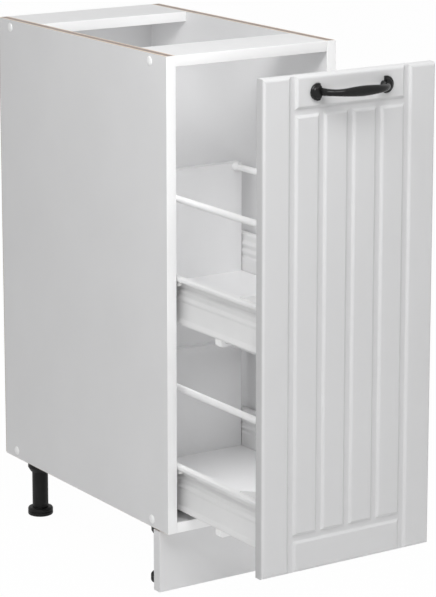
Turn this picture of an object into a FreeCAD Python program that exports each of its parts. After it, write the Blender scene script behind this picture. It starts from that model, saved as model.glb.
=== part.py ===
# Pull-out pantry base cabinet: a melamine carcass on adjustable legs, with two
# steel-sided trays that run on rollers and share one grooved front.
# Millimetres, +Z up, floor at Z = 0, the front faces -Y. The origin lies on the
# floor under the middle of the box that the cabinet fills in its open rest pose.
import FreeCAD, Part
import math
import os
import re
import Sketcher

SIZES = {
    # carcass boards
    "carcass_width": 300,
    "carcass_height": 720,
    "carcass_depth": 500,
    "panel_thickness": 16,
    "back_thickness": 3,
    "back_margin": 1,
    "band_thickness": 1,
    "front_rail_depth": 96,
    "rear_rail_depth": 106,
    # carcass screws and their caps
    "carcass_screw_edge": 12,
    "carcass_screw_front": 46,
    "carcass_screw_rear": 35,
    "carcass_screw_length": 48,
    "carcass_screw_radius": 2.5,
    "carcass_screw_head": 4.5,
    "carcass_screw_sink": 3,
    "cap_radius": 7,
    "cap_height": 1.8,
    # smaller screws and pins: head, rise of the head, shank and bite past the sheet
    "leg_screw_head": 5,
    "leg_screw_rise": 2.5,
    "leg_screw_radius": 2,
    "leg_screw_bite": 11,
    "back_pin_head": 3,
    "back_pin_rise": 0.8,
    "back_pin_radius": 1.1,
    "back_pin_bite": 11,
    "clip_screw_head": 3,
    "clip_screw_rise": 1.6,
    "clip_screw_radius": 1.4,
    "clip_screw_bite": 9.5,
    "runner_screw_head": 3.2,
    "runner_screw_rise": 1.5,
    "runner_screw_radius": 1.5,
    "runner_screw_bite": 11,
    "board_screw_head": 3.2,
    "board_screw_rise": 1.4,
    "board_screw_radius": 1.5,
    "board_screw_bite": 20,
    "board_screw_level": 20,
    "bracket_screw_head": 3.4,
    "bracket_screw_rise": 1.8,
    "bracket_screw_radius": 1.6,
    "bracket_screw_bite": 10,
    "handle_screw_head": 4,
    "handle_screw_rise": 2.2,
    "handle_screw_radius": 2,
    "handle_screw_bite": 5,
    "fit_clearance": 0.2,
    "overrun": 1,
    # legs, feet and plinth
    "leg_height": 100,
    "leg_inset_x": 38,
    "leg_front_y": 72,
    "leg_rear_inset": 43,
    "leg_radius": 13,
    "leg_bore": 8.5,
    "socket_radius": 19.5,
    "socket_height": 26,
    "socket_wall": 2.2,
    "socket_collar": 19,
    "foot_radius": 20.5,
    "foot_height": 13,
    "foot_round": 2,
    "foot_groove": 0.9,
    "stem_clearance": 0.5,
    "stem_length": 40,
    "plinth_setback": 25,
    "plinth_thickness": 16,
    "plinth_floor_gap": 2,
    "plinth_top_gap": 2,
    "clip_width": 18,
    "clip_wall": 2.5,
    "clip_plate_half": 20,
    "clip_neck_half": 6,
    "clip_screw_spread": 14,
    "clip_clearance": 7,
    # front and handle
    "front_width": 297,
    "front_height": 717,
    "front_thickness": 16,
    "front_bottom": 102,
    "front_edge_round": 5,
    "groove_half": 8.5,
    "groove_depth": 3.5,
    "groove_pitch": 49,
    "groove_rail": 51,
    "rest_opening": 229,
    "handle_spacing": 128,
    "handle_drop": 24,
    "handle_reach": 35,
    "handle_neck": 4.9,
    "handle_belly": 7.4,
    "handle_stem_x": 54.5,
    "handle_foot_radius": 12.4,
    "handle_foot_height": 7.5,
    "handle_foot_x": 58.4,
    "handle_foot_flat": 56,
    # trays
    "tray_length": 449,
    "tray_lift": 28.5,
    "tray_pitch": 288,
    "side_gap": 13,
    "side_height": 74.5,
    "sheet": 1.2,
    "bend_round": 1,
    "rib_round": 4,
    "flange_out": 10.5,
    "lip_height": 5,
    "flange_in": 18,
    "rib_top": 10.7,
    "rib_flank": 6.2,
    "rib_depth": 2,
    "step_depth": 1.5,
    "flare_top": 10,
    "flare_flank": 6,
    "ear_length": 85,
    "ear_rise": 20,
    "base_thickness": 13,
    "base_gap": 0.5,
    "back_board_height": 174,
    "rod_radius": 5,
    "rod_inset": 15,
    "rod_drop": 5,
    "rod_socket_radius": 6.8,
    "rod_socket_depth": 10,
    "rod_socket_floor": 2,
    "bracket_sheet": 2,
    "bracket_length": 40,
    "bracket_width": 18,
    "bracket_height": 44,
    "bracket_lift": 16,
    "clip_back": 147,
    "clip_block": 15,
    "clip_tab": 18,
    "clip_drop": 11,
    "clip_across": 8,
    # runners and rollers
    "runner_sheet": 1.2,
    "runner_length": 452,
    "runner_setback": 2,
    "runner_lower_flange": 10.5,
    "runner_upper_flange": 7,
    "runner_notch": 22,
    "roller_radius": 6,
    "roller_width": 6,
    "roller_chamfer": 0.8,
    "roller_gap": 0.3,
    "roller_bore": 1.7,
    "roller_pass": 0.5,
    "axle_radius": 1.6,
    "axle_head": 2.6,
    "axle_rivet": 1,
    "axle_spacer": 2.9,
    "tray_spacer": 1.5,
    "spacer_radius": 2,
    "tab_length": 18,
    "tab_height": 18,
    "stop_height": 5,
    "front_roller_y": 5,
    "rear_roller_inset": 10,
    "closed_gap": 2,
    "full_travel": 343,
}

# Lengths that follow from the sizes, each written once.
DERIVED = {
    "front_y": "((rest_opening + front_thickness + handle_reach - carcass_depth) / 2)",
    "inner_half": "(carcass_width / 2 - panel_thickness)",
    "side_depth": "(carcass_depth - back_thickness)",
    "rear_y": "(front_y + side_depth)",
    "carcass_top": "(leg_height + carcass_height)",
    "leg_x": "(carcass_width / 2 - leg_inset_x)",
    "leg_rear_y": "(side_depth - leg_rear_inset)",
    "clip_level": "(leg_height - socket_height - clip_clearance - clip_width / 2)",
    "door_back_y": "(front_y - rest_opening)",
    "door_face_y": "(door_back_y - front_thickness)",
    "front_top": "(front_bottom + front_height)",
    "handle_z": "(front_top - handle_drop)",
    "wall_x": "(inner_half - side_gap)",
    "tray_rear_y": "(door_back_y + tray_length)",
    "board_y": "(tray_rear_y - panel_thickness)",
    "base_half": "(wall_x - sheet - rib_depth - base_gap)",
    "rod_x": "(wall_x - rod_inset)",
    "channel_half": "(roller_radius + roller_gap)",
    "runner_y": "(front_y + runner_setback)",
    "cabinet_roller_x": "(inner_half - runner_sheet - axle_spacer - roller_gap - roller_width / 2)",
    "tray_roller_x": "(wall_x + tray_spacer + roller_gap + roller_width / 2)",
    "plinth_back_y": "(front_y + plinth_setback + plinth_thickness)",
    "rear_rail_y": "(rear_y - rear_rail_depth)",
    "roller_y": "(front_y + front_roller_y)",
    "tray_roller_y": "(tray_rear_y - rear_roller_inset)",
    "open_left": "(full_travel - rest_opening + closed_gap)",
    "stop_y": "(tray_roller_y - open_left - roller_radius - roller_gap)",
}
LEVELS = {"lower": "(leg_height + tray_lift)", "upper": "(leg_height + tray_lift + tray_pitch)"}
HANDS = {"left": -1, "right": 1}
PLANES = {"XY_Plane": ("x", "y"), "XZ_Plane": ("x", "z"), "YZ_Plane": ("y", "z")}
FLANGE_TURN = math.radians(60)
FOUND = 0.001
NAME = re.compile(r"[a-z_]+")

doc = FreeCAD.newDocument("PullOutCabinet")
sheet = doc.addObject("Spreadsheet::Sheet", "Sizes")
for row, (alias, number) in enumerate(SIZES.items(), start=1):
    sheet.set(f"A{row}", alias)
    sheet.set(f"B{row}", str(number))
    sheet.setAlias(f"B{row}", alias)
doc.recompute()
nodes = {}


def expand(text):
    """Write an expression of size names as one of the sheet's cells."""
    def cell(match):
        word = match.group(0)
        if word in DERIVED:
            return expand(DERIVED[word])
        return f"Sizes.{word}" if word in SIZES else word
    return NAME.sub(cell, str(text))


def length(text):
    """The present value of an expression of size names."""
    return float(sheet.evalExpression(expand(text)))


def bind(item, **expressions):
    """Tie an object's sizes to the sheet; x, y and z are its place."""
    for name, text in expressions.items():
        target = f"Placement.Base.{name}" if name in "xyz" else name
        item.setExpression(target, expand(text))
    return item


def node(name, item):
    """Name a finished piece: the label is its node and its file."""
    item.Label = name
    nodes[name] = item
    return item


def block(name, x, y, z):
    """A board: each argument is the pair of expressions of its two faces."""
    item = doc.addObject("Part::Box", name)
    spans = {key: f"({pair[1]}) - ({pair[0]})" for key, pair in zip(("Length", "Width", "Height"), (x, y, z))}
    return bind(item, x=x[0], y=y[0], z=z[0], **spans)


def bar(name, axis, x, y, z, radius, long):
    """A round bar that starts at x, y, z and runs along an axis."""
    item = doc.addObject("Part::Cylinder", name)
    item.Placement.Rotation = FreeCAD.Rotation(FreeCAD.Vector(0, 0, 1), FreeCAD.Vector(*axis))
    return bind(item, x=x, y=y, z=z, Radius=radius, Height=long)


def cut(name, base, *tools):
    """Take tools out of a base piece."""
    for number, tool in enumerate(tools):
        item = doc.addObject("Part::Cut", f"{name}_cut{number}")
        item.Base = base
        item.Tool = tool
        base = item
    return base


def fuse(name, *pieces):
    """Join shapes into one piece."""
    item = doc.addObject("Part::MultiFuse", name)
    item.Shapes = list(pieces)
    return item


def outline(body, role, points):
    """A closed outline of straight edges, every corner held by the sheet."""
    sketch = body.newObject("Sketcher::SketchObject", f"{body.Name}_outline")
    plane = [part for part in body.Origin.OriginFeatures if part.Role == role][0]
    sketch.AttachmentSupport = [(plane, "")]
    sketch.MapMode = "FlatFace"
    corners = [FreeCAD.Vector(length(across), length(up), 0) for across, up in points]
    for number, corner in enumerate(corners):
        sketch.addGeometry(Part.LineSegment(corner, corners[(number + 1) % len(corners)]), False)
    for number in range(len(points)):
        sketch.addConstraint(Sketcher.Constraint("Coincident", number, 2, (number + 1) % len(points), 1))
    for number, (across, up) in enumerate(points):
        for kind, text in (("DistanceX", across), ("DistanceY", up)):
            held = sketch.addConstraint(Sketcher.Constraint(kind, -1, 1, number, 1, length(text)))
            sketch.setExpression(f"Constraints[{held}]", expand(text))
    return sketch


def pressed(name, role, points, long, flipped=False):
    """A body padded from an outline."""
    body = doc.addObject("PartDesign::Body", name)
    pad = body.newObject("PartDesign::Pad", f"{name}_pad")
    pad.Profile = outline(body, role, points)
    pad.Reversed = flipped
    pad.setExpression("Length", expand(long))
    body.Tip = pad
    return body


def folded(name, role, points, long, thickness):
    """A sheet padded from the outline of its section, with round folds: the inside of a
    fold has its radius, the outside that radius and the sheet. The sheet's ends stay square."""
    body = pressed(name, role, points, long)
    corners = [FreeCAD.Vector(length(across), length(up), 0) for across, up in points]
    steps = [corners[number] - corners[number - 1] for number in range(len(corners))]
    turns = []
    for number, step in enumerate(steps):
        after = steps[(number + 1) % len(steps)]
        turns.append(math.atan2(step.x * after.y - step.y * after.x, step.dot(after)))
    winding = math.copysign(1, sum(turns))
    rounds = {}
    for number, turn in enumerate(turns):
        after = steps[(number + 1) % len(steps)]
        if min(steps[number].Length, after.Length) > 1.5 * length(thickness):
            radius = "bend_round" if abs(turn) > FLANGE_TURN else "rib_round"
            outside = f" + {thickness}" if turn * winding > 0 else ""
            rounds.setdefault(radius + outside, []).append(corners[number])
    for number, (radius, spots) in enumerate(rounds.items()):
        doc.recompute()
        tip = body.Tip
        edges = []
        for rank, edge in enumerate(tip.Shape.Edges, start=1):
            ends = [[getattr(end.Point, key) for key in PLANES[role]] for end in edge.Vertexes]
            if any(all(math.dist(end, (spot.x, spot.y)) < FOUND for end in ends) for spot in spots):
                edges.append(f"Edge{rank}")
        fillet = body.newObject("PartDesign::Fillet", f"{name}_round{number}")
        fillet.Base = (tip, edges)
        fillet.setExpression("Radius", expand(radius))
        body.Tip = fillet
    return body


def turned(name, points):
    """A body turned about Z from an outline of radius and height."""
    body = doc.addObject("PartDesign::Body", name)
    turn = body.newObject("PartDesign::Revolution", f"{name}_turn")
    turn.Profile = outline(body, "XZ_Plane", points)
    turn.ReferenceAxis = (turn.Profile[0], ["V_Axis"])
    turn.Angle = 360
    body.Tip = turn
    return body


def aimed(axis, x, y, z):
    """A place with local Z along an axis."""
    spin = FreeCAD.Rotation(FreeCAD.Vector(0, 0, 1), FreeCAD.Vector(*axis))
    return FreeCAD.Placement(FreeCAD.Vector(length(x), length(y), length(z)), spin)


def group(name, master, places):
    """Copies of one turned or pressed piece, as separate solids of one item."""
    doc.recompute()
    copies = []
    for place in places:
        copy = master.Shape.copy()
        copy.Placement = place.multiply(master.Shape.Placement)
        copies.append(copy)
    item = doc.addObject("Part::Feature", name)
    item.Shape = Part.makeCompound(copies)
    return item


def screw(kind, through):
    """A pan-head screw and its hole, by the kind's rows of the sheet: the head stands on
    Z = 0, the shank points down -Z through a sheet and on into the board behind it."""
    long = f"({through} + {kind}_bite)"
    wide = f"{kind}_radius + fit_clearance / 2"
    body = turned(kind, [
        ("0", f"-{long}"),
        (f"{kind}_radius", f"-{long} + {kind}_radius"),
        (f"{kind}_radius", "0"),
        (f"{kind}_head", "0"),
        (f"{kind}_head", f"{kind}_rise * 0.4"),
        (f"{kind}_head * 0.7", f"{kind}_rise"),
        ("0", f"{kind}_rise"),
    ])
    return body, drill(f"{kind}_hole", wide, f"{long} + overrun")


def drill(name, radius, deep):
    """A plain hole from just above Z = 0 down -Z."""
    return turned(name, [("0", f"-({deep})"), (radius, f"-({deep})"), (radius, "overrun"), ("0", "overrun")])


def gather(name, pieces):
    """Several pieces as separate solids of one item."""
    item = doc.addObject("Part::Compound", name)
    item.Links = pieces
    return item


def dome(name, radius, height):
    """A shallow round cap on Z = 0, turned from a quarter ellipse."""
    steps = 6
    rim = [math.radians(90 * number / steps) for number in range(steps)]
    curve = [(f"({radius}) * {math.cos(turn)}", f"({height}) * {math.sin(turn)}") for turn in rim]
    return turned(name, [("0", "0")] + curve + [("0", height)])


# Carcass screws: long flat-headed screws driven through the sides into the bottom
# board and the two top rails, each under a domed plastic cap.
carcass_screw = turned("carcass_screw", [
    ("0", "-carcass_screw_length"),
    ("carcass_screw_radius", "-carcass_screw_length + carcass_screw_radius"),
    ("carcass_screw_radius", "0"),
    ("carcass_screw_head", "0"),
    ("carcass_screw_head", "carcass_screw_sink"),
    ("0", "carcass_screw_sink"),
])
carcass_hole = turned("carcass_hole", [
    ("0", "-carcass_screw_length - overrun"),
    ("carcass_screw_radius + fit_clearance", "-carcass_screw_length - overrun"),
    ("carcass_screw_radius + fit_clearance", "0"),
    ("carcass_screw_head + fit_clearance", "0"),
    ("carcass_screw_head + fit_clearance", "carcass_screw_sink + overrun"),
    ("0", "carcass_screw_sink + overrun"),
])
screw_ys = ("front_y + carcass_screw_front", "rear_y - carcass_screw_rear")
screw_zs = ("leg_height + carcass_screw_edge", "carcass_top - carcass_screw_edge")
seats = []
faces = []
for hand in HANDS.values():
    for across in screw_ys:
        for up in screw_zs:
            face = f"{hand} * carcass_width / 2"
            faces.append(aimed((hand, 0, 0), face, across, up))
            seats.append(aimed((hand, 0, 0), f"{face} - {hand} * carcass_screw_sink", across, up))
carcass_holes = group("carcass_holes", carcass_hole, seats)
node("carcass_screws", group("carcass_screws", carcass_screw, seats))
node("screw_caps", group("screw_caps", dome("cap", "cap_radius", "cap_height"), faces))

# Legs: a socket screwed up into the bottom board, a pipe pushed into it and a foot
# whose threaded stem runs in the pipe and sets the cabinet level.
leg_spots = {
    f"{end}_{hand}": (f"{sign} * leg_x", f"front_y + {along}")
    for end, along in (("front", "leg_front_y"), ("rear", "leg_rear_y"))
    for hand, sign in HANDS.items()
}
leg_places = [aimed((0, 0, 1), x, y, "0") for x, y in leg_spots.values()]
socket_top_places = [aimed((0, 0, -1), x, y, "leg_height - socket_wall") for x, y in leg_spots.values()]
leg_screw, leg_hole = screw("leg_screw", "socket_wall")
leg_holes = group("leg_holes", leg_hole, socket_top_places)
socket = turned("socket", [
    ("0", "leg_height"),
    ("socket_radius", "leg_height"),
    ("socket_radius", "leg_height - socket_collar"),
    ("leg_radius + socket_wall", "leg_height - socket_height"),
    ("leg_radius + fit_clearance", "leg_height - socket_height"),
    ("leg_radius + fit_clearance", "leg_height - socket_wall"),
    ("0", "leg_height - socket_wall"),
])
pipe = turned("pipe", [
    ("leg_bore", "foot_height"),
    ("leg_radius", "foot_height"),
    ("leg_radius", "leg_height - socket_wall"),
    ("leg_bore", "leg_height - socket_wall"),
])
foot = turned("foot", [
    ("0", "0"),
    ("foot_radius - foot_round", "0"),
    ("foot_radius - foot_round * 0.3", "foot_round * 0.3"),
    ("foot_radius", "foot_round"),
    ("foot_radius", "foot_height / 2 - foot_groove"),
    ("foot_radius - foot_groove", "foot_height / 2"),
    ("foot_radius", "foot_height / 2 + foot_groove"),
    ("foot_radius", "foot_height - foot_round * 1.5"),
    ("foot_radius - foot_round / 2", "foot_height - foot_round / 2"),
    ("foot_radius - foot_round * 1.5", "foot_height"),
    ("leg_bore - stem_clearance", "foot_height"),
    ("leg_bore - stem_clearance", "foot_height + stem_length"),
    ("0", "foot_height + stem_length"),
])
node("leg_sockets", cut("leg_sockets", group("sockets", socket, leg_places), leg_holes))
node("leg_pipes", group("leg_pipes", pipe, leg_places))
node("leg_screws", group("leg_screws", leg_screw, socket_top_places))
for spot, (x, y) in leg_spots.items():
    node(f"foot_{spot}", group(f"foot_{spot}", foot, [aimed((0, 0, 1), x, y, "0")]))

# Back: a thin fibreboard sheet pinned over the rear edges, the pins driven in flush.
back_pin, back_pin_hole = screw("back_pin", "back_thickness - back_pin_rise")
pin_seat = drill("pin_seat", "back_pin_head + fit_clearance / 2", "0")
pin_y = "rear_y + back_thickness - back_pin_rise"
pin_x = "(carcass_width / 2 - panel_thickness / 2)"
pin_places = []
for hand in HANDS.values():
    for share in (1, 3, 5, 7):
        pin_z = f"leg_height + carcass_height * {share} / 8"
        pin_places.append(aimed((0, 1, 0), f"{hand} * {pin_x}", pin_y, pin_z))
    for pin_z in ("leg_height + panel_thickness / 2", "carcass_top - panel_thickness / 2"):
        pin_places.append(aimed((0, 1, 0), f"{hand} * carcass_width / 6", pin_y, pin_z))
pin_holes = group("pin_holes", back_pin_hole, pin_places)
pin_seats = group("pin_seats", pin_seat, pin_places)
node("back_pins", group("back_pins", back_pin, pin_places))
back_sheet = block(
    "back_sheet",
    ("back_margin - carcass_width / 2", "carcass_width / 2 - back_margin"),
    ("rear_y", "rear_y + back_thickness"),
    ("leg_height + back_margin", "carcass_top - back_margin"),
)
node("back_panel", cut("back_panel", back_sheet, pin_holes, pin_seats))

# Carcass boards: full-height sides, a bottom board and two flat top rails between
# them, with a glued edge band on every edge that shows from the front.
whole_depth = ("front_y + band_thickness", "rear_y")
whole_height = ("leg_height", "carcass_top")
between = ("-inner_half", "inner_half")
bottom_span = ("leg_height", "leg_height + panel_thickness")
rail_span = ("carcass_top - panel_thickness", "carcass_top")
front_band = ("front_y", "front_y + band_thickness")
side_boards = {}
bands = []
for hand, sign in HANDS.items():
    faces_x = sorted((f"{sign} * inner_half", f"{sign} * carcass_width / 2"), key=length)
    side_boards[hand] = block(f"{hand}_board", faces_x, whole_depth, whole_height)
    bands.append(block(f"{hand}_band", faces_x, front_band, whole_height))
bottom_board = block("bottom_board", between, whole_depth, bottom_span)
node("bottom_panel", cut("bottom_panel", bottom_board, carcass_holes, leg_holes, pin_holes))
front_rail_span = ("front_y + band_thickness", "front_y + front_rail_depth")
front_rail = block("front_rail", between, front_rail_span, rail_span)
node("front_top_rail", cut("front_top_rail", front_rail, carcass_holes))
rear_rail = block("rear_rail", between, ("rear_rail_y + band_thickness", "rear_y"), rail_span)
node("rear_top_rail", cut("rear_top_rail", rear_rail, carcass_holes, pin_holes))
bands += [
    block("bottom_band", between, front_band, bottom_span),
    block("front_rail_band", between, front_band, rail_span),
    block("rear_rail_band", between, ("rear_rail_y", "rear_rail_y + band_thickness"), rail_span),
]
node("edge_bands", gather("edge_bands", bands))

# Plinth: a board held to the front legs by sprung clips.
plinth_blank = block(
    "plinth_blank",
    ("-carcass_width / 2", "carcass_width / 2"),
    ("front_y + plinth_setback", "plinth_back_y"),
    ("plinth_floor_gap", "leg_height - plinth_top_gap"),
)
clip_span = ("clip_level - clip_width / 2", "clip_level + clip_width / 2")
clip_screw, clip_hole = screw("clip_screw", "clip_wall")
clip_screw_places = []
clips = []
for hand, sign in HANDS.items():
    leg_y = "(front_y + leg_front_y)"
    plate = block(
        f"clip_plate_{hand}",
        (f"{sign} * leg_x - clip_plate_half", f"{sign} * leg_x + clip_plate_half"),
        ("plinth_back_y", "plinth_back_y + clip_wall"),
        clip_span,
    )
    neck = block(
        f"clip_neck_{hand}",
        (f"{sign} * leg_x - clip_neck_half", f"{sign} * leg_x + clip_neck_half"),
        ("plinth_back_y", leg_y),
        clip_span,
    )
    foot_of_ring = (f"{sign} * leg_x", leg_y, clip_span[0])
    ring = bar(f"clip_ring_{hand}", (0, 0, 1), *foot_of_ring, "leg_radius + clip_wall", "clip_width")
    bore = bar(f"clip_bore_{hand}", (0, 0, 1), *foot_of_ring, "leg_radius + fit_clearance", "clip_width")
    mouth = block(
        f"clip_mouth_{hand}",
        (f"{sign} * leg_x - leg_radius * 0.7", f"{sign} * leg_x + leg_radius * 0.7"),
        (leg_y, f"{leg_y} + leg_radius * 2"),
        clip_span,
    )
    for turn in HANDS.values():
        screw_x = f"{sign} * leg_x + {turn} * clip_screw_spread"
        clip_screw_places.append(aimed((0, 1, 0), screw_x, "plinth_back_y + clip_wall", "clip_level"))
    clips.append(cut(f"clip_{hand}", fuse(f"clip_body_{hand}", plate, neck, ring), bore, mouth))
clip_holes = group("clip_holes", clip_hole, clip_screw_places)
node("plinth_clips", cut("plinth_clips", gather("both_clips", clips), clip_holes))
node("plinth_clip_screws", group("plinth_clip_screws", clip_screw, clip_screw_places))
node("plinth_board", cut("plinth_board", plinth_blank, clip_holes))

# Runners: a rolled channel screwed to each cabinet side for each tray. A roller at its
# front end carries the tray's flange; the tray's own rear roller runs in the channel
# as far as a bent stop.
runner_screw, runner_hole = screw("runner_screw", "runner_sheet")


def axle(name, root, spacer):
    """A stepped pin from its root in a sheet, out past a spacer and a roller to a rivet head."""
    seat = f"({spacer} + roller_width + 2 * roller_gap)"
    return turned(name, [
        ("0", root),
        ("spacer_radius", root),
        ("spacer_radius", spacer),
        ("axle_radius", spacer),
        ("axle_radius", seat),
        ("axle_head", seat),
        ("axle_head", f"{seat} + axle_rivet"),
        ("0", f"{seat} + axle_rivet"),
    ])


cabinet_axle = axle("cabinet_axle", "0", "axle_spacer")
tray_axle = axle("tray_axle", "-sheet - rib_depth", "tray_spacer")
roller = turned("roller", [
    ("roller_bore", "-roller_width / 2"),
    ("roller_radius - roller_chamfer", "-roller_width / 2"),
    ("roller_radius", "roller_chamfer - roller_width / 2"),
    ("roller_radius", "roller_width / 2 - roller_chamfer"),
    ("roller_radius - roller_chamfer", "roller_width / 2"),
    ("roller_bore", "roller_width / 2"),
])
axle_hole = drill("axle_hole", "spacer_radius + fit_clearance", "sheet + rib_depth + overrun")
runner_screw_places = []
cabinet_axle_places = []
tray_axle_places = []
runners = {}
for level, floor in LEVELS.items():
    roller_z = f"({floor} + side_height - sheet - roller_gap - roller_radius)"
    channel_z = f"({roller_z} - 2 * roller_radius - roller_pass)"
    for hand, sign in HANDS.items():
        place = f"{level}_{hand}"
        inward = -sign
        face = f"{sign} * inner_half"
        channel = folded(f"channel_{place}", "XZ_Plane", [
            ("0", "-channel_half - runner_sheet"),
            (f"{inward} * runner_lower_flange", "-channel_half - runner_sheet"),
            (f"{inward} * runner_lower_flange", "-channel_half"),
            (f"{inward} * runner_sheet", "-channel_half"),
            (f"{inward} * runner_sheet", "channel_half"),
            (f"{inward} * runner_upper_flange", "channel_half"),
            (f"{inward} * runner_upper_flange", "channel_half + runner_sheet"),
            ("0", "channel_half + runner_sheet"),
        ], "runner_length", "runner_sheet")
        bind(channel, x=face, y="runner_y + runner_length", z=channel_z)
        tab = pressed(f"tab_{place}", "YZ_Plane", [
            ("0", "0"),
            ("tab_length", "0"),
            ("tab_length", "tab_height - tab_length / 2"),
            ("tab_length / 2", "tab_height"),
            ("0", "tab_height"),
        ], "runner_sheet", sign > 0)
        bind(tab, x=face, y="runner_y", z=channel_z)
        flange_tip = f"{face} + {inward} * (runner_lower_flange + overrun)"
        flange_z = f"{channel_z} + channel_half"
        notch = block(
            f"notch_{place}",
            sorted((f"{face} + {inward} * runner_sheet", flange_tip), key=length),
            ("runner_y - overrun", "runner_y + runner_notch"),
            (f"{channel_z} - channel_half - runner_sheet - overrun", f"{flange_z} + runner_sheet + overrun"),
        )
        stop = block(
            f"stop_{place}",
            sorted((f"{face}", f"{face} + {inward} * runner_upper_flange"), key=length),
            ("stop_y - runner_sheet", "stop_y"),
            (f"{channel_z} - channel_half - runner_sheet", f"{channel_z} - channel_half + stop_height"),
        )
        runners[place] = fuse(f"rail_{place}", cut(f"notched_{place}", channel, notch), tab, stop)
        inner = f"{sign} * (inner_half - runner_sheet)"
        for share in (0.1, 0.5, 0.9):
            along = f"runner_y + runner_length * {share}"
            runner_screw_places.append(aimed((inward, 0, 0), inner, along, channel_z))
        cabinet_axle_places.append(aimed((inward, 0, 0), inner, "roller_y", roller_z))
        tray_axle_places.append(aimed((sign, 0, 0), f"{sign} * wall_x", "tray_roller_y", channel_z))
        at_front = aimed((sign, 0, 0), f"{sign} * cabinet_roller_x", "roller_y", roller_z)
        at_rear = aimed((sign, 0, 0), f"{sign} * tray_roller_x", "tray_roller_y", channel_z)
        node(f"cabinet_roller_{place}", group(f"cabinet_roller_{place}", roller, [at_front]))
        node(f"tray_roller_{place}", group(f"tray_roller_{place}", roller, [at_rear]))
runner_holes = group("runner_holes", runner_hole, runner_screw_places)
axle_holes = group("axle_holes", axle_hole, tray_axle_places)
node("runner_screws", group("runner_screws", runner_screw, runner_screw_places))
node("runner_axles", group("runner_axles", cabinet_axle, cabinet_axle_places))
node("tray_axles", group("tray_axles", tray_axle, tray_axle_places))
for place, rail in runners.items():
    node(f"runner_{place}", cut(f"runner_{place}", rail, runner_holes))
for hand, board in side_boards.items():
    node(f"{hand}_side_panel", cut(f"{hand}_side_panel", board, carcass_holes, runner_holes, pin_holes))

# Trays: two ribbed steel sides, a base board on their lower flanges, a back board and
# a gallery rod above each side, plugged into cups on the back board and the front.
board_screw, board_hole = screw("board_screw", "sheet")
bracket_screw, bracket_hole = screw("bracket_screw", "bracket_sheet")
cup = turned("cup", [
    ("0", "0"),
    ("rod_socket_radius", "0"),
    ("rod_socket_radius - 1", "rod_socket_depth"),
    ("rod_radius + fit_clearance", "rod_socket_depth"),
    ("rod_radius + fit_clearance", "rod_socket_floor"),
    ("0", "rod_socket_floor"),
])
rib_folds = [
    ("0", "rib_top"),
    ("rib_depth", "rib_top + rib_flank"),
    ("0", "rib_top + 2 * rib_flank"),
    ("rib_depth", "rib_top + 3 * rib_flank"),
    ("0", "rib_top + 4 * rib_flank"),
    ("step_depth", "rib_top + 4.6 * rib_flank"),
    ("step_depth", "side_height - flare_top"),
    ("0", "side_height - flare_top + flare_flank"),
]
board_screw_places = []
bracket_screw_places = []
front_cups = []
rear_cups = []
brackets = []
base_clips = []
tray_sides = {}
tray_bases = {}
tray_boards = {}
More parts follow.
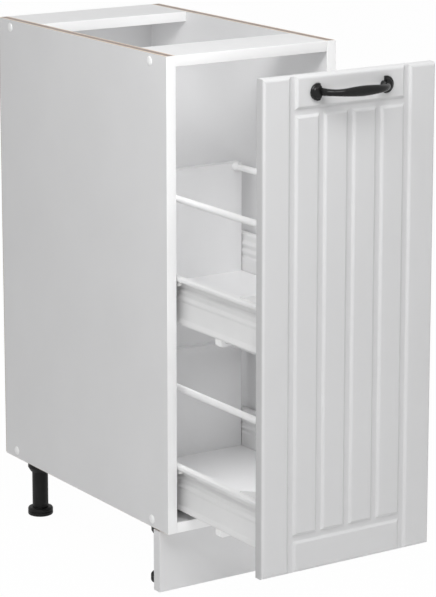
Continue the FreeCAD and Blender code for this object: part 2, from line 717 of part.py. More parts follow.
for level, floor in LEVELS.items():
    base_top = f"({floor} + sheet + base_thickness)"
    rod_z = f"({base_top} + back_board_height - rod_drop)"
    tray_bases[level] = block(
        f"base_{level}",
        ("-base_half", "base_half"),
        ("door_back_y + base_gap", "tray_rear_y"),
        (f"{floor} + sheet", base_top),
    )
    tray_boards[level] = block(
        f"board_{level}",
        ("-base_half", "base_half"),
        ("board_y", "tray_rear_y"),
        (base_top, f"{base_top} + back_board_height"),
    )
    for hand, sign in HANDS.items():
        place = f"{level}_{hand}"
        wall = f"{sign} * wall_x"
        outer = [(f"{-sign} * ({deep})", f"-({down})") for deep, down in rib_folds]
        inner = [(f"{-sign} * (sheet + {deep})", f"-({down})") for deep, down in rib_folds]
        wall_sheet = folded(f"wall_{place}", "XZ_Plane", [
            (f"{sign} * flange_out", "-lip_height"),
            (f"{sign} * flange_out", "0"),
            (f"{-sign} * sheet", "0"),
            *inner,
            (f"{-sign} * sheet", "sheet - side_height"),
            (f"{-sign} * flange_in", "sheet - side_height"),
            (f"{-sign} * flange_in", "-side_height"),
            ("0", "-side_height"),
            *reversed(outer),
            ("0", "-sheet"),
            (f"{sign} * (flange_out - sheet)", "-sheet"),
            (f"{sign} * (flange_out - sheet)", "-lip_height"),
        ], "tray_length", "sheet")
        bind(wall_sheet, x=wall, y="tray_rear_y", z=f"{floor} + side_height")
        ear = pressed(f"ear_{place}", "YZ_Plane", [
            ("0", "-rib_top / 2"),
            ("ear_length", "-rib_top / 2"),
            ("ear_length", "0"),
            ("0", "ear_rise"),
        ], "sheet", sign > 0)
        bind(ear, x=wall, y="door_back_y", z=f"{floor} + side_height")
        tray_sides[place] = fuse(f"side_{place}", wall_sheet, ear)
        crest = f"{sign} * (wall_x - sheet - rib_depth)"
        bracket = folded(f"bracket_{place}", "XY_Plane", [
            ("0", "0"),
            ("0", "bracket_length"),
            (f"{-sign} * bracket_sheet", "bracket_length"),
            (f"{-sign} * bracket_sheet", "bracket_sheet"),
            (f"{-sign} * bracket_width", "bracket_sheet"),
            (f"{-sign} * bracket_width", "0"),
        ], "bracket_height", "bracket_sheet")
        brackets.append(bind(bracket, x=crest, y="door_back_y", z=f"{floor} + bracket_lift"))
        inward = -sign
        base_clip = pressed(f"base_clip_{place}", "XZ_Plane", [
            ("0", "0"),
            ("0", "-clip_drop * 0.8"),
            (f"{inward} * clip_drop * 0.2", "-clip_drop"),
            (f"{inward} * clip_tab", "-clip_drop * 0.9"),
            (f"{inward} * clip_tab", "-clip_drop * 0.65"),
            (f"{inward} * clip_across", "-clip_drop * 0.55"),
            (f"{inward} * clip_across", "0"),
        ], "clip_block")
        clip_place = {"x": f"{sign} * (wall_x - sheet)", "y": "door_back_y + clip_back", "z": floor}
        base_clips.append(bind(base_clip, **clip_place))
        step_x = f"{sign} * (wall_x - step_depth)"
        board_middle = "board_y + panel_thickness / 2"
        board_screw_places.append(aimed((sign, 0, 0), step_x, board_middle, f"{floor} + board_screw_level"))
        flap_x = f"{crest} - {sign} * bracket_width * 0.6"
        for share in (0.25, 0.75):
            up = f"{floor} + bracket_lift + bracket_height * {share}"
            bracket_screw_places.append(aimed((0, 1, 0), flap_x, "door_back_y + bracket_sheet", up))
        front_cups.append(aimed((0, 1, 0), f"{sign} * rod_x", "door_back_y", rod_z))
        rear_cups.append(aimed((0, -1, 0), f"{sign} * rod_x", "board_y", rod_z))
        node(f"gallery_rod_{place}", bar(
            f"gallery_rod_{place}", (0, 1, 0), f"{sign} * rod_x", "door_back_y + rod_socket_floor", rod_z,
            "rod_radius", "board_y - door_back_y - 2 * rod_socket_floor",
        ))
board_holes = group("board_holes", board_hole, board_screw_places)
bracket_holes = group("bracket_holes", bracket_hole, bracket_screw_places)
node("board_screws", group("board_screws", board_screw, board_screw_places))
node("bracket_screws", group("bracket_screws", bracket_screw, bracket_screw_places))
node("rod_front_cups", group("rod_front_cups", cup, front_cups))
node("rod_rear_cups", group("rod_rear_cups", cup, rear_cups))
node("front_brackets", cut("front_brackets", gather("all_brackets", brackets), bracket_holes))
node("base_clips", gather("base_clips", base_clips))
for level in LEVELS:
    node(f"tray_base_{level}", tray_bases[level])
    node(f"tray_back_{level}", cut(f"tray_back_{level}", tray_boards[level], board_holes))
for place, side in tray_sides.items():
    node(f"tray_side_{place}", cut(f"tray_side_{place}", side, axle_holes, board_holes))

# Front: one board with a wrapped skin, rounded at its edges, with milled grooves that
# frame four planks.
front_blank = pressed("front_blank", "XZ_Plane", [
    ("-front_width / 2", "0"),
    ("front_width / 2", "0"),
    ("front_width / 2", "front_height"),
    ("-front_width / 2", "front_height"),
], "front_thickness")
bind(front_blank, x="0", y="door_back_y", z="front_bottom")
doc.recompute()
blank_pad = front_blank.Tip
rim = [
    f"Edge{number}"
    for number, edge in enumerate(blank_pad.Shape.Edges, start=1)
    if all(abs(point.Point.y + length("front_thickness")) < 0.01 for point in edge.Vertexes)
]
rounded = front_blank.newObject("PartDesign::Fillet", "front_round")
rounded.Base = (blank_pad, rim)
rounded.setExpression("Radius", expand("front_edge_round"))
front_blank.Tip = rounded


def groove(name, start, end):
    """The cutter of one groove along a line: a shallow floor between two ogee walls."""
    half = length("groove_half")
    deep = length("groove_depth")
    along = (end - start).normalize()
    into = FreeCAD.Vector(0, 1, 0)
    across = into.cross(along)

    def at(side, depth):
        return start + across * (side * half) + into * (depth * deep)

    edges = [
        Part.Arc(at(-1, 0), at(-0.81, 0.18), at(-0.65, 0.5)).toShape(),
        Part.Arc(at(-0.65, 0.5), at(-0.51, 0.83), at(-0.3, 0.96)).toShape(),
        Part.Arc(at(-0.3, 0.96), at(0, 1), at(0.3, 0.96)).toShape(),
        Part.Arc(at(0.3, 0.96), at(0.51, 0.83), at(0.65, 0.5)).toShape(),
        Part.Arc(at(0.65, 0.5), at(0.81, 0.18), at(1, 0)).toShape(),
        Part.LineSegment(at(1, 0), at(1, -0.3)).toShape(),
        Part.LineSegment(at(1, -0.3), at(-1, -0.3)).toShape(),
        Part.LineSegment(at(-1, -0.3), at(-1, 0)).toShape(),
    ]
    item = doc.addObject("Part::Feature", name)
    item.Shape = Part.Face(Part.Wire(edges)).extrude(end - start)
    return item


def on_face(x, z):
    """A point of the front's face."""
    return FreeCAD.Vector(length(x), length("door_face_y"), length(z))


planks = ("front_bottom + groove_rail", "front_top - groove_rail")
grooves = []
for step in (-2, -1, 0, 1, 2):
    ends = ("front_bottom - overrun", "front_top + overrun") if abs(step) == 2 else planks
    x = f"{step} * groove_pitch"
    grooves.append(groove(f"groove_{step + 3}", on_face(x, ends[0]), on_face(x, ends[1])))
for number, z in enumerate(planks, start=6):
    ends = (on_face("-2 * groove_pitch", z), on_face("2 * groove_pitch", z))
    grooves.append(groove(f"groove_{number}", *ends))
handle_screw, handle_hole = screw("handle_screw", "front_thickness")
handle_screw_places = [
    aimed((0, 1, 0), f"{sign} * handle_spacing / 2", "door_back_y", "handle_z") for sign in HANDS.values()
]
handle_holes = group("handle_holes", handle_hole, handle_screw_places)
node("handle_screws", group("handle_screws", handle_screw, handle_screw_places))
node("front_panel", cut("front_panel", front_blank, *grooves, handle_holes, bracket_holes))

# Handle: a cast bow, thin at its necks and full at its middle, whose two stems rise from the
# flat sides of stepped half-round feet.
foot_steps = [
    (0, 0), (0.96, 0), (1, 0.08), (1, 0.45), (0.93, 0.6), (0.8, 0.64), (0.72, 0.86), (0.58, 1), (0, 1),
]
handle_foot = turned("handle_foot", [
    (f"handle_foot_radius * {wide}", f"handle_foot_height * {high}") for wide, high in foot_steps
])
whole_feet = group("whole_feet", handle_foot, [
    aimed((0, -1, 0), f"{sign} * handle_foot_x", "door_face_y", "handle_z") for sign in HANDS.values()
])
between_feet = block(
    "between_feet",
    ("-handle_foot_flat", "handle_foot_flat"),
    ("door_face_y - handle_foot_height - overrun", "door_face_y + overrun"),
    ("handle_z - handle_foot_radius - overrun", "handle_z + handle_foot_radius + overrun"),
)
half_feet = cut("half_feet", whole_feet, between_feet)
stem = length("handle_stem_x")
crown = length("handle_reach - handle_neck - (handle_belly - handle_neck) * 0.1")
half_path = [
    (1, 0.01, 90, 0.36), (0.98, 0.235, 78, 0.28), (0.927, 0.487, 62, 0.1), (0.817, 0.738, 42, 0),
    (0.66, 0.91, 20, 0.12), (0.367, 0.985, 5, 0.68),
]
stations = [
    (-stem * along, crown * out, lean, f"handle_neck + (handle_belly - handle_neck) * {swell}")
    for along, out, lean, swell in half_path
]
stations += [(0, crown, 0, "handle_belly")]
stations += [(-x, out, -lean, tall) for x, out, lean, tall in reversed(stations[:-1])]
rings = []
for number, (x, out, lean, tall) in enumerate(stations):
    ring = doc.addObject("Part::Ellipse", f"bow_{number}")
    along = FreeCAD.Vector(math.cos(math.radians(lean)), -math.sin(math.radians(lean)), 0)
    up = FreeCAD.Vector(0, 0, 1)
    spin = FreeCAD.Rotation(up, along.cross(up), along, "ZXY")
    ring.Placement = FreeCAD.Placement(
        FreeCAD.Vector(x, length("door_face_y") - out, length("handle_z")), spin
    )
    bind(ring, MajorRadius=f"({tall}) * 1.001", MinorRadius=f"handle_neck + ({tall} - handle_neck) * 0.1")
    rings.append(ring)
bow = doc.addObject("Part::Loft", "bow")
bow.Sections = rings
bow.Solid = True
node("handle", cut("handle", fuse("handle_cast", bow, half_feet), handle_holes))

doc.recompute()
failed = [item.Name for item in doc.Objects if {"Invalid", "Error"} & set(item.State)]
failed += [name for name, item in nodes.items() if item.Shape.isNull() or not item.Shape.isValid()]
if failed:
    raise RuntimeError(f"not built: {failed}")
os.makedirs("parts", exist_ok=True)
for name, item in nodes.items():
    item.Shape.exportStep(f"parts/{name}.step")
    print(name, len(item.Shape.Solids), round(item.Shape.Volume))
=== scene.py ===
import math

import bmesh
import bpy
from mathutils import Matrix, Vector


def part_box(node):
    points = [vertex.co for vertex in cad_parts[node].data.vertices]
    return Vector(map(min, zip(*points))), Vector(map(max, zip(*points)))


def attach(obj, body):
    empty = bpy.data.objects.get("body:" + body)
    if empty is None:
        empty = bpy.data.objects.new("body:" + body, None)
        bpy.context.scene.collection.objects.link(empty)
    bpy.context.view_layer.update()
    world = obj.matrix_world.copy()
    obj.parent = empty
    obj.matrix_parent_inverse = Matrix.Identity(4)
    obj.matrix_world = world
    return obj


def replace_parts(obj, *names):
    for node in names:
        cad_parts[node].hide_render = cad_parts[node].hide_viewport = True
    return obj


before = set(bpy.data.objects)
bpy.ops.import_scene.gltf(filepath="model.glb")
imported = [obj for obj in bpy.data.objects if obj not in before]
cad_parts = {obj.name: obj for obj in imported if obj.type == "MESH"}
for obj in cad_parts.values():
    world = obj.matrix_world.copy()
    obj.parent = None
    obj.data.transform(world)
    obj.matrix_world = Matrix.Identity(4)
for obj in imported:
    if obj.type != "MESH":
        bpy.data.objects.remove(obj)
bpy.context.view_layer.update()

# Side boards: two upright sheets of chipboard faced with white melamine.
# They are sawn to size and stand the full height of the carcass; the front edge is
# banded, and the top and bottom edges show the bare brown core.


def new_finish(name, colour, roughness):
    """A material with its colour and roughness on the shader, and its node tree."""
    material = bpy.data.materials.new(name)
    material.use_nodes = True
    tree = material.node_tree
    shader = tree.nodes["Principled BSDF"]
    shader.inputs["Base Color"].default_value = (*colour, 1)
    shader.inputs["Roughness"].default_value = roughness
    return material, tree, shader


def grain(tree, kind, scale, **settings):
    """A texture on the piece's own coordinates, in repeats per metre."""
    place = tree.nodes.get("Place") or tree.nodes.new("ShaderNodeTexCoord")
    place.name = "Place"
    texture = tree.nodes.new(kind)
    texture.inputs["Scale"].default_value = scale
    for socket, value in settings.items():
        texture.inputs[socket].default_value = value
    tree.links.new(place.outputs["Object"], texture.inputs["Vector"])
    return texture


def shades(tree, source, dark, light, low=0.3, high=0.7):
    """Colour that runs from a dark to a light shade with a source."""
    ramp = tree.nodes.new("ShaderNodeValToRGB")
    for element, place, shade in zip(ramp.color_ramp.elements, (low, high), (dark, light)):
        element.position = place
        element.color = (*shade, 1)
    tree.links.new(source, ramp.inputs["Fac"])
    return ramp.outputs["Color"]


def tint(tree, shader, texture, dark, light):
    """Colour that wanders between two shades with a texture."""
    tree.links.new(shades(tree, texture.outputs[0], dark, light), shader.inputs["Base Color"])


def stretch(tree, source, low, high, to_low=0, to_high=1):
    """A value stretched from one range to another and held at its ends."""
    spread = tree.nodes.new("ShaderNodeMapRange")
    spread.inputs["From Min"].default_value = low
    spread.inputs["From Max"].default_value = high
    spread.inputs["To Min"].default_value = to_low
    spread.inputs["To Max"].default_value = to_high
    tree.links.new(source, spread.inputs["Value"])
    return spread.outputs["Result"]


def sheen_range(tree, shader, texture, low, high):
    """Roughness that wanders between two values with a texture."""
    tree.links.new(stretch(tree, texture.outputs[0], 0, 1, low, high), shader.inputs["Roughness"])


def relief(tree, shader, texture, height):
    """Bump of a real height in metres."""
    bump = tree.nodes.new("ShaderNodeBump")
    bump.inputs["Strength"].default_value = 1
    bump.inputs["Distance"].default_value = height
    tree.links.new(texture.outputs[0], bump.inputs["Height"])
    tree.links.new(bump.outputs["Normal"], shader.inputs["Normal"])


def dress(material, *names):
    """Give finished CAD pieces their material through their own slots."""
    for name in names:
        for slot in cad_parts[name].material_slots:
            slot.material = material


def melamine(name, dark, light):
    """White facing with the fine pearl of a pressed paper film."""
    material, tree, shader = new_finish(name, light, 0.36)
    tint(tree, shader, grain(tree, "ShaderNodeTexNoise", 7, Detail=3), dark, light)
    sheen_range(tree, shader, grain(tree, "ShaderNodeTexNoise", 60, Detail=2), 0.32, 0.44)
    relief(tree, shader, grain(tree, "ShaderNodeTexNoise", 900, Detail=2), 0.00001)
    return material, tree, shader


def own_place(tree):
    """X, Y and Z of a point on the piece."""
    split = tree.nodes.new("ShaderNodeSeparateXYZ")
    tree.links.new(tree.nodes["Place"].outputs["Object"], split.inputs["Vector"])
    return split.outputs


def reckon(tree, operation, first, second):
    """A sum of a value with another value or a number."""
    step = tree.nodes.new("ShaderNodeMath")
    step.operation = operation
    tree.links.new(first, step.inputs[0])
    if isinstance(second, bpy.types.NodeSocket):
        tree.links.new(second, step.inputs[1])
    else:
        step.inputs[1].default_value = second
    return step.outputs[0]


def distance(tree, value, level):
    """How far a value is from a level, on either side."""
    return reckon(tree, "ABSOLUTE", reckon(tree, "SUBTRACT", value, level), 0)


def mixed(tree, factor, first, second):
    """One colour where a factor is 0 and another where it is 1."""
    mix = tree.nodes.new("ShaderNodeMix")
    mix.data_type = "RGBA"
    tree.links.new(factor, mix.inputs["Factor"])
    tree.links.new(first, mix.inputs["A"])
    if isinstance(second, bpy.types.NodeSocket):
        tree.links.new(second, mix.inputs["B"])
    else:
        mix.inputs["B"].default_value = (*second, 1)
    return mix.outputs["Result"]


def lay_over(tree, shader, factor, colour):
    """Show a second colour on a finish where a factor is 1."""
    under = shader.inputs["Base Color"].links[0].from_socket
    tree.links.new(mixed(tree, factor, under, colour), shader.inputs["Base Color"])


board_low, board_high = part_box("right_side_panel")
board_middle = (board_low + board_high) / 2
edge_depth = 0.0002
core_half = 0.0042
layer_blend = 0.002
board_white, board_tree, board_shader = melamine(
    "side_board_melamine", (0.75, 0.75, 0.755), (0.775, 0.775, 0.78)
)
chips = grain(board_tree, "ShaderNodeTexVoronoi", 420)
core_brown = shades(board_tree, chips.outputs["Color"], (0.10, 0.062, 0.042), (0.24, 0.16, 0.11), 0, 1)
dust = grain(board_tree, "ShaderNodeTexVoronoi", 1500)
dust_peach = shades(board_tree, dust.outputs["Color"], (0.64, 0.49, 0.37), (0.84, 0.69, 0.56), 0, 1)
board_place = own_place(board_tree)
off_core = distance(board_tree, reckon(board_tree, "ABSOLUTE", board_place["X"], 0), board_middle.x)
layer = stretch(board_tree, off_core, core_half, core_half + layer_blend)
off_middle = distance(board_tree, board_place["Z"], board_middle.z)
sawn = reckon(board_tree, "GREATER_THAN", off_middle, board_high.z - board_middle.z - edge_depth)
lay_over(board_tree, board_shader, sawn, mixed(board_tree, layer, core_brown, dust_peach))
dress(board_white, "left_side_panel", "right_side_panel")

# Bottom board and top rails: strips of the same faced chipboard between the sides.
# The rails lie flat at the front and the rear and leave the top open between them.
rail_white = melamine("rail_melamine", (0.735, 0.735, 0.74), (0.76, 0.76, 0.765))[0]
dress(rail_white, "bottom_panel", "front_top_rail", "rear_top_rail")

# Edge bands: white plastic strips, 1 mm thick, glued over the sawn front edges.
# Their outer corners are scraped to a small round after gluing.
band_thickness = 0.001
band_round = 0.0006
band_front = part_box("edge_bands")[0].y
side_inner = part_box("right_side_panel")[0].x
side_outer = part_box("right_side_panel")[1].x
carcass_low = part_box("left_side_panel")[0].z
carcass_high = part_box("left_side_panel")[1].z
board_thickness = side_outer - side_inner
rear_rail_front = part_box("rear_top_rail")[0].y - band_thickness
bottom_top = carcass_low + board_thickness
rail_under = carcass_high - board_thickness
band_strips = [
    ((-side_outer, -side_inner), band_front, (carcass_low, carcass_high)),
    ((side_inner, side_outer), band_front, (carcass_low, carcass_high)),
    ((-side_inner, side_inner), band_front, (carcass_low, bottom_top)),
    ((-side_inner, side_inner), band_front, (rail_under, carcass_high)),
    ((-side_inner, side_inner), rear_rail_front, (rail_under, carcass_high)),
]


def settle(name, bm, body, material, smooth=True):
    """Turn a bmesh into a finished piece that rides on a body."""
    mesh = bpy.data.meshes.new(name)
    bm.to_mesh(mesh)
    bm.free()
    mesh.materials.append(material)
    piece = bpy.data.objects.new(name, mesh)
    bpy.context.scene.collection.objects.link(piece)
    if smooth:
        mesh.shade_smooth()
        mesh.set_sharp_from_angle(angle=math.radians(40))
    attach(piece, body)
    return piece


bm = bmesh.new()
for (left, right), front, (low, high) in band_strips:
    middle = Vector(((left + right) / 2, front + band_thickness / 2, (low + high) / 2))
    size = Vector((right - left, band_thickness, high - low))
    strip = bmesh.ops.create_cube(bm, size=1, matrix=Matrix.LocRotScale(middle, None, size))
    rim = {edge for vert in strip["verts"] if vert.co.y < middle.y for edge in vert.link_edges}
    rim = [edge for edge in rim if all(vert.co.y < middle.y for vert in edge.verts)]
    bmesh.ops.bevel(bm, geom=rim, offset=band_round, segments=3, profile=0.5, affect="EDGES", material=-1)
band_white, band_tree, band_shader = new_finish("edge_band_plastic", (0.93, 0.93, 0.93), 0.34)
band_cloud = grain(band_tree, "ShaderNodeTexNoise", 9, Detail=2)
tint(band_tree, band_shader, band_cloud, (0.94, 0.94, 0.94), (0.96, 0.96, 0.96))
relief(band_tree, band_shader, grain(band_tree, "ShaderNodeTexNoise", 1100, Detail=2), 0.000006)
bands = settle("edge_band_strips", bm, "carcass", band_white)
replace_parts(bands, "edge_bands")

# Back board: a 3 mm fibreboard sheet, painted white inside and bare brown behind.
# It is pinned over the rear edges with flush steel pins.
paint_depth = 0.0003
back_white, back_tree, back_shader = melamine("back_board_paint", (0.70, 0.70, 0.705), (0.73, 0.73, 0.735))
fibres = grain(back_tree, "ShaderNodeTexNoise", 700, Detail=4, Roughness=0.7)
fibre_brown = shades(back_tree, fibres.outputs[0], (0.20, 0.115, 0.06), (0.33, 0.21, 0.12))
back_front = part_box("back_panel")[0].y
bare = reckon(back_tree, "GREATER_THAN", own_place(back_tree)["Y"], back_front + paint_depth)
lay_over(back_tree, back_shader, bare, fibre_brown)
dress(back_white, "back_panel")

# Carcass screws, pins and axles: zinc-plated steel, turned or rolled. The screws and pins are
# driven straight into the boards, the axles riveted to runners and tray sides. The plating has
# a faint blue cast and fine drawing marks.
zinc, zinc_tree, zinc_shader = new_finish("zinc_plate", (0.62, 0.63, 0.65), 0.34)
zinc_shader.inputs["Metallic"].default_value = 1
plating = grain(zinc_tree, "ShaderNodeTexNoise", 600, Detail=3)
tint(zinc_tree, zinc_shader, plating, (0.55, 0.56, 0.58), (0.68, 0.69, 0.71))
sheen_range(zinc_tree, zinc_shader, plating, 0.26, 0.44)
relief(zinc_tree, zinc_shader, grain(zinc_tree, "ShaderNodeTexNoise", 2400, Detail=2), 0.000005)
dress(zinc, "carcass_screws", "back_pins", "runner_axles", "tray_axles")

# Fitting screws: pan-head screws of the same plated steel, which hold the legs, plinth clips,
# runners, tray boards, front brackets and handle. Head and shank are turned on one axis, and a
# cross recess for the driver is sunk into the head.
turn_steps = 24
weld = 0.000001
clear_of_head = 0.001


def screw_seats(node):
    """Seat, outward axis, head radius, rise, shank radius and length of each screw of a CAD node."""
    bm = bmesh.new()
    bm.from_mesh(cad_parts[node].data)
    bmesh.ops.remove_doubles(bm, verts=bm.verts, dist=weld)
    seats = []
    met = set()
    for first in bm.verts:
        if first in met:
            continue
        met.add(first)
        solid = [first]
        for vert in solid:
            beside = [edge.other_vert(vert) for edge in vert.link_edges]
            beside = [other for other in beside if other not in met]
            met.update(beside)
            solid += beside
        spots = [vert.co for vert in solid]
        low = Vector(map(min, zip(*spots)))
        high = Vector(map(max, zip(*spots)))
        middle = (low + high) / 2
        longest = max(range(3), key=lambda way: high[way] - low[way])
        out = Vector([float(way == longest) for way in range(3)])
        reaches = [(spot - middle - out * (spot - middle).dot(out)).length for spot in spots]
        head = max(reaches)
        rim = [(spot - middle).dot(out) for spot, reach in zip(spots, reaches) if reach > head * 0.98]
        if sum(rim) < 0:
            out = -out
            rim = [-level for level in rim]
        levels = [(spot - middle).dot(out) for spot in spots]
        seat = min(rim)
        shank = max(reach for reach, level in zip(reaches, levels) if level < seat - clear_of_head)
        seats.append((middle + out * seat, out, head, max(levels) - seat, shank, seat - min(levels)))
    bm.free()
    return seats


def cross_screw(bm, turn, seat, out, head, rise, shank, long):
    """One screw with a cross recess, turned about its axis by an angle."""
    before = set(bm.verts)
    profile = [(0, -long), (shank, shank - long), (shank, 0), (head, 0), (head, rise * 0.4)]
    profile += [(head * 0.94, rise * 0.68), (head * 0.84, rise * 0.9), (head * 0.7, rise)]
    line = [bm.verts.new((wide, 0, high)) for wide, high in profile]
    edges = [bm.edges.new(pair) for pair in zip(line, line[1:])]
    bmesh.ops.spin(
        bm, geom=line + edges, cent=(0, 0, 0), axis=(0, 0, 1), angle=math.tau,
        steps=turn_steps, use_merge=True,
    )
    bmesh.ops.remove_doubles(bm, verts=[vert for vert in bm.verts if vert not in before], dist=weld)
    rim = [edge for edge in bm.edges if edge.is_boundary]
    narrow = head * 0.12
    wide = head * 0.5
    plus = [(narrow, wide), (narrow, narrow), (wide, narrow)]
    outline = []
    for quarter in range(4):
        swing = Matrix.Rotation(-quarter * math.pi / 2, 3, "Z")
        outline += [swing @ Vector((x, y, rise)) for x, y in plus]
    corners = [bm.verts.new(spot) for spot in outline]
    mouth = [bm.edges.new((corner, corners[number - 1])) for number, corner in enumerate(corners)]
    bmesh.ops.triangle_fill(bm, edges=rim + mouth, use_beauty=True)
    sunk = bmesh.ops.extrude_edge_only(bm, edges=mouth)["geom"]
    floor_verts = [item for item in sunk if isinstance(item, bmesh.types.BMVert)]
    floor_edges = [item for item in sunk if isinstance(item, bmesh.types.BMEdge)]
    for vert in floor_verts:
        vert.co = Vector((vert.co.x * 0.7, vert.co.y * 0.7, rise * 0.3))
    bmesh.ops.contextual_create(bm, geom=floor_edges)
    stand = Vector((0, 0, 1)).rotation_difference(out).to_matrix() @ Matrix.Rotation(turn, 3, "Z")
    for vert in bm.verts:
        if vert not in before:
            vert.co = seat + stand @ vert.co


for node, body in {
    "leg_screws": "carcass", "plinth_clip_screws": "carcass", "runner_screws": "carcass",
    "board_screws": "pull_out", "bracket_screws": "pull_out", "handle_screws": "pull_out",
}.items():
    bm = bmesh.new()
    for number, place in enumerate(screw_seats(node)):
        cross_screw(bm, number * 0.7, *place)
    bmesh.ops.recalc_face_normals(bm, faces=bm.faces)
    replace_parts(settle(f"cross_{node}", bm, body, zinc), node)

# Screw caps: white polythene domes, moulded in one piece with a faint mould grain.
# They are pressed over the carcass screws' heads and stand a little proud of the sides.
cap_white, cap_tree, cap_shader = new_finish("cap_plastic", (0.95, 0.95, 0.95), 0.3)
cap_cloud = grain(cap_tree, "ShaderNodeTexNoise", 120, Detail=2)
tint(cap_tree, cap_shader, cap_cloud, (0.94, 0.94, 0.94), (0.96, 0.96, 0.96))
relief(cap_tree, cap_shader, grain(cap_tree, "ShaderNodeTexNoise", 1500, Detail=2), 0.000004)
cap_shader.inputs["Subsurface Weight"].default_value = 0.1
cap_shader.inputs["Subsurface Radius"].default_value = (0.001, 0.001, 0.001)
dress(cap_white, "screw_caps")

# Legs: black polypropylene sockets, pipes and screw feet, moulded with a fine spark texture.
# The foot's stem runs up inside the pipe.
leg_black, leg_tree, leg_shader = new_finish("leg_plastic", (0.006, 0.006, 0.006), 0.5)
leg_shader.inputs["Specular IOR Level"].default_value = 0.2
spark = grain(leg_tree, "ShaderNodeTexNoise", 1300, Detail=3, Roughness=0.6)
leg_cloud = grain(leg_tree, "ShaderNodeTexNoise", 45, Detail=3)
tint(leg_tree, leg_shader, leg_cloud, (0.004, 0.004, 0.004), (0.009, 0.009, 0.009))
sheen_range(leg_tree, leg_shader, spark, 0.42, 0.6)
relief(leg_tree, leg_shader, spark, 0.00002)
dress(
    leg_black, "leg_sockets", "leg_pipes", "plinth_clips",
    "foot_front_left", "foot_front_right", "foot_rear_left", "foot_rear_right",
)

# Foot threads: the low thread moulded on each foot's stem, in the same black plastic.
# It winds up the stem in one helix and sets the foot's height in the leg pipe.
thread_pitch = 0.003
thread_turns = 12
thread_below_top = 0.0375
root, root_half = -0.0002, 0.001
crest, crest_half = 0.0004, 0.0004
ridge = [(root, -root_half), (crest, -crest_half), (crest, crest_half), (root, root_half)]
for spot in ("front_left", "front_right", "rear_left", "rear_right"):
    foot_low, foot_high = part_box(f"foot_{spot}")
    foot_axis = (foot_low + foot_high) / 2
    foot_spots = [vert.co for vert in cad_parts[f"foot_{spot}"].data.vertices]
    stem_top = [place for place in foot_spots if place.z > foot_high.z - weld * 10]
    stem_radius = max((place - foot_axis).xy.length for place in stem_top)
    start = Vector((foot_axis.x + stem_radius, foot_axis.y, foot_high.z - thread_below_top))
    bm = bmesh.new()
    section = [bm.verts.new(start + Vector((out, 0, up))) for out, up in ridge]
    edges = [bm.edges.new((vert, section[number - 1])) for number, vert in enumerate(section)]
    bmesh.ops.spin(
        bm, geom=section + edges, cent=foot_axis, axis=(0, 0, 1), dvec=(0, 0, thread_pitch / turn_steps),
        angle=math.tau * thread_turns, steps=turn_steps * thread_turns,
    )
    bmesh.ops.holes_fill(bm, edges=[edge for edge in bm.edges if edge.is_boundary], sides=4)
    bmesh.ops.recalc_face_normals(bm, faces=bm.faces)
    settle(f"foot_thread_{spot}", bm, f"foot_{spot}", leg_black)

# Plinth: a loose board of faced chipboard that closes the gap between the front legs.
# Black sprung clips, screwed to its back, snap round the legs and let it be pulled off.
plinth_white = melamine("plinth_melamine", (0.76, 0.76, 0.765), (0.79, 0.79, 0.795))[0]
dress(plinth_white, "plinth_board")

# Runners and brackets: rolled sheet steel with white powder coat, screwed to the side boards
# and to the front. The coat has a soft orange-peel surface.


def powder_coat(name, dark, light):
    """White baked powder on steel."""
    material, tree, shader = new_finish(name, light, 0.4)
    tint(tree, shader, grain(tree, "ShaderNodeTexNoise", 14, Detail=3), dark, light)
    peel = grain(tree, "ShaderNodeTexNoise", 750, Detail=1)
    sheen_range(tree, shader, peel, 0.34, 0.46)
    relief(tree, shader, peel, 0.00002)
    return material


runner_white = powder_coat("runner_powder_coat", (0.84, 0.84, 0.84), (0.87, 0.87, 0.87))
dress(
    runner_white, "runner_lower_left", "runner_lower_right", "runner_upper_left", "runner_upper_right",
    "front_brackets",
)

# Rollers: moulded white nylon wheels, free on their riveted axles, two to each tray side.
# One at the runner's front end carries the tray's flange, the other runs at the tray's rear.
nylon, nylon_tree, nylon_shader = new_finish("roller_nylon", (0.86, 0.86, 0.845), 0.38)
nylon_cloud = grain(nylon_tree, "ShaderNodeTexNoise", 180, Detail=3)
tint(nylon_tree, nylon_shader, nylon_cloud, (0.83, 0.83, 0.81), (0.88, 0.88, 0.87))
relief(nylon_tree, nylon_shader, grain(nylon_tree, "ShaderNodeTexNoise", 1800, Detail=2), 0.000005)
dress(nylon, *[
    f"{owner}_roller_{level}_{hand}"
    for owner in ("cabinet", "tray") for level in ("lower", "upper") for hand in ("left", "right")
])

# Tray sides: ribbed steel pressings with white powder coat, bent out to a roller flange at
# the top and in to a ledge for the base at the bottom.
tray_white = powder_coat("tray_side_powder_coat", (0.81, 0.81, 0.81), (0.84, 0.84, 0.84))
dress(
    tray_white, "tray_side_lower_left", "tray_side_lower_right", "tray_side_upper_left",
    "tray_side_upper_right",
)

# Tray boards: a thin base laid on the ledges and a 16 mm back board screwed between the sides,
# both faced white.
tray_board = melamine("tray_board_melamine", (0.84, 0.84, 0.845), (0.87, 0.87, 0.875))[0]
dress(tray_board, "tray_base_lower", "tray_base_upper", "tray_back_lower", "tray_back_upper")

# Gallery rods: white powder-coated steel rods above each tray side, pushed into white
# plastic cups on the back board and the front.
rod_white = powder_coat("rod_powder_coat", (0.88, 0.88, 0.88), (0.91, 0.91, 0.91))
dress(
    rod_white, "gallery_rod_lower_left", "gallery_rod_lower_right", "gallery_rod_upper_left",
    "gallery_rod_upper_right",
)
dress(cap_white, "rod_front_cups", "rod_rear_cups")

# Base clips: white plastic catches in the same plastic as the caps, moulded in one piece.
# They are pressed up under the tray ledges and keep the loose base boards in place.
dress(cap_white, "base_clips")

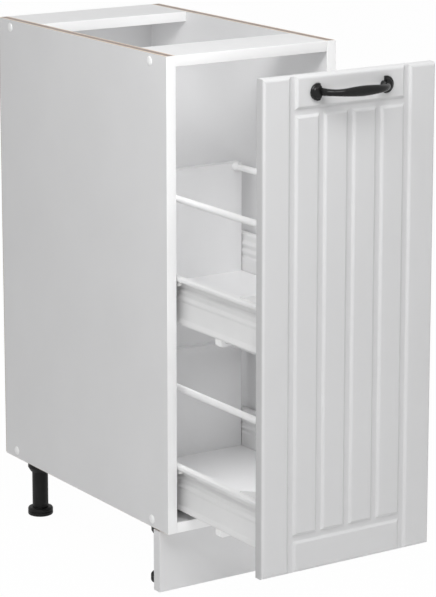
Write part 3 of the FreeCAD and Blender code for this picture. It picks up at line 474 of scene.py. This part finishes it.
# Front: fibreboard milled with soft grooves and wrapped in a matt off-white foil. Its long edges are
# painted a darker grey: a painted shade that stands in for the shade those edges fall in. Two brackets
# a tray hold it, and its back face is plain.
foil, foil_tree, foil_shader = new_finish("front_foil", (0.69, 0.69, 0.695), 0.42)
foil_cloud = grain(foil_tree, "ShaderNodeTexNoise", 5, Detail=3)
tint(foil_tree, foil_shader, foil_cloud, (0.68, 0.68, 0.685), (0.70, 0.70, 0.705))
sheen_range(foil_tree, foil_shader, grain(foil_tree, "ShaderNodeTexNoise", 40, Detail=2), 0.38, 0.5)
relief(foil_tree, foil_shader, grain(foil_tree, "ShaderNodeTexNoise", 1000, Detail=3), 0.000012)
front_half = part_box("front_panel")[1].x
# Painted shade: the foil colour turns darker grey within about a millimetre of the long edges, in place of
# the shade that falls there.
fade_start, fade_end = 0.0012, 0.0003
from_centre = distance(foil_tree, own_place(foil_tree)["X"], 0)
painted_edge_shade = stretch(foil_tree, from_centre, front_half - fade_start, front_half - fade_end)
lay_over(foil_tree, foil_shader, painted_edge_shade, (0.53, 0.53, 0.535))
dress(foil, "front_panel")

# Handle: a cast zinc bow on two stepped half-round feet, with a baked black coat.
# Two screws through the front hold it from behind.
handle_black, handle_tree, handle_shader = new_finish("handle_black_coat", (0.006, 0.006, 0.006), 0.2)
handle_shader.inputs["Specular IOR Level"].default_value = 0.24
cast = grain(handle_tree, "ShaderNodeTexNoise", 420, Detail=4, Roughness=0.6)
handle_cloud = grain(handle_tree, "ShaderNodeTexNoise", 60, Detail=3)
tint(handle_tree, handle_shader, handle_cloud, (0.004, 0.004, 0.004), (0.008, 0.008, 0.008))
sheen_range(handle_tree, handle_shader, cast, 0.15, 0.27)
relief(handle_tree, handle_shader, cast, 0.00003)
dress(handle_black, "handle")

# Studio: a white floor that runs out of sight, an even sky, soft lamps on all four sides, and
# small ones by the plinth and inside the carcass, where the boards shade each other. Floor and
# sky are plain white to the camera, and the floor keeps a trace of the shadow.
bm = bmesh.new()
bmesh.ops.create_grid(bm, x_segments=1, y_segments=1, size=40)
floor_mesh = bpy.data.meshes.new("studio_floor")
bm.to_mesh(floor_mesh)
bm.free()
floor = bpy.data.objects.new("studio_floor", floor_mesh)
bpy.context.scene.collection.objects.link(floor)
floor_white, floor_tree, floor_shader = new_finish("studio_floor_white", (0.85, 0.85, 0.85), 0.9)
floor_shader.inputs["Specular IOR Level"].default_value = 0
glow = floor_tree.nodes.new("ShaderNodeEmission")
glow.inputs["Color"].default_value = (1, 1, 1, 1)


def shown(tree):
    """1 for rays from the camera and in gloss, and 0 for the light that falls on the object."""
    path = tree.nodes.new("ShaderNodeLightPath")
    return reckon(tree, "MAXIMUM", path.outputs["Is Camera Ray"], path.outputs["Is Glossy Ray"])


def blend(tree, factor, first, second, output):
    """One shader where a factor is 0 and another where it is 1."""
    both = tree.nodes.new("ShaderNodeMixShader")
    tree.links.new(factor, both.inputs["Fac"])
    tree.links.new(first, both.inputs[1])
    tree.links.new(second, both.inputs[2])
    tree.links.new(both.outputs["Shader"], tree.nodes[output].inputs["Surface"])


white_share = reckon(floor_tree, "MULTIPLY", shown(floor_tree), 0.985)
blend(floor_tree, white_share, floor_shader.outputs["BSDF"], glow.outputs["Emission"], "Material Output")
floor_mesh.materials.append(floor_white)

sky = bpy.data.worlds.new("studio_sky")
sky.use_nodes = True
bpy.context.scene.world = sky
sky_tree = sky.node_tree
lit_sky = sky_tree.nodes["Background"]
lit_sky.inputs["Color"].default_value = (1, 1, 1, 1)
lit_sky.inputs["Strength"].default_value = 0.32
white_sky = sky_tree.nodes.new("ShaderNodeBackground")
white_sky.inputs["Color"].default_value = (1, 1, 1, 1)
white_sky.inputs["Strength"].default_value = 1
blend(
    sky_tree, shown(sky_tree), lit_sky.outputs["Background"], white_sky.outputs["Background"],
    "World Output",
)


def soft_lamp(name, place, target, width, height, watts, mirrored=False):
    """A rectangular lamp that faces a point, and shows in gloss where it is mirrored."""
    light = bpy.data.lights.new(name, "AREA")
    light.shape = "RECTANGLE"
    light.size = width
    light.size_y = height
    light.energy = watts
    lamp = bpy.data.objects.new(name, light)
    lamp.location = place
    lamp.rotation_mode = "QUATERNION"
    lamp.rotation_quaternion = (Vector(target) - Vector(place)).to_track_quat("-Z", "Y")
    lamp.visible_camera = False
    lamp.visible_glossy = mirrored
    bpy.context.scene.collection.objects.link(lamp)


soft_lamp("front_lamp", (-0.35, -1.4, 2.2), (0, -0.3, 0.5), 1.0, 0.8, 17, mirrored=True)
soft_lamp("left_lamp", (-0.95, -0.7, 1.65), (-0.1, 0, 0.7), 0.6, 0.6, 9.5, mirrored=True)
soft_lamp("low_lamp", (-1.1, -1.8, 0.3), (-0.1, -0.2, 0.3), 0.9, 0.4, 4.5)
soft_lamp("right_lamp", (1.5, -0.5, 1.4), (0.15, 0, 0.5), 0.9, 0.9, 5)
soft_lamp("rear_lamp", (0.4, 2.2, 1.6), (0, 0.3, 0.5), 1.0, 1.0, 9)
soft_lamp("plinth_lamp", (0.08, -0.28, 0.05), (0.08, 0, 0.05), 0.2, 0.06, 0.065)
soft_lamp("upper_inside_lamp", (-0.115, 0.02, 0.67), (1, -0.1, 0.5), 0.2, 0.14, 0.14)
soft_lamp("lower_inside_lamp", (-0.015, -0.05, 0.37), (0.05, -0.24, 0.13), 0.1, 0.08, 0.23)
soft_lamp("deep_inside_lamp", (-0.11, 0.25, 0.36), (1, 0.25, 0.32), 0.2, 0.24, 0.22)
soft_lamp("top_inside_lamp", (-0.01, 0.28, 0.71), (0.1, 0.39, 0.745), 0.1, 0.06, 0.055)

# Camera: a long lens in front of the cabinet and to its left, above its top and tilted down.
# The shift puts the optical centre above the middle of the picture, as in the photograph.
frame_rows = 597
focal_rows = 2652
centre_row = 209
tilt_down = 11.965
turn_right = 33.34
camera_data = bpy.data.cameras.new("photo_camera")
camera_data.sensor_width = 36
camera_data.lens = focal_rows / frame_rows * camera_data.sensor_width
camera_data.shift_y = (centre_row - frame_rows / 2) / frame_rows
camera_data.clip_end = 200
camera = bpy.data.objects.new("photo_camera", camera_data)
camera.location = (-2.1579, -3.2969, 1.3948)
camera.rotation_euler = (math.radians(90 - tilt_down), 0, math.radians(-turn_right))
bpy.context.scene.collection.objects.link(camera)
bpy.context.scene.camera = camera
bpy.context.scene.view_settings.view_transform = "Standard"
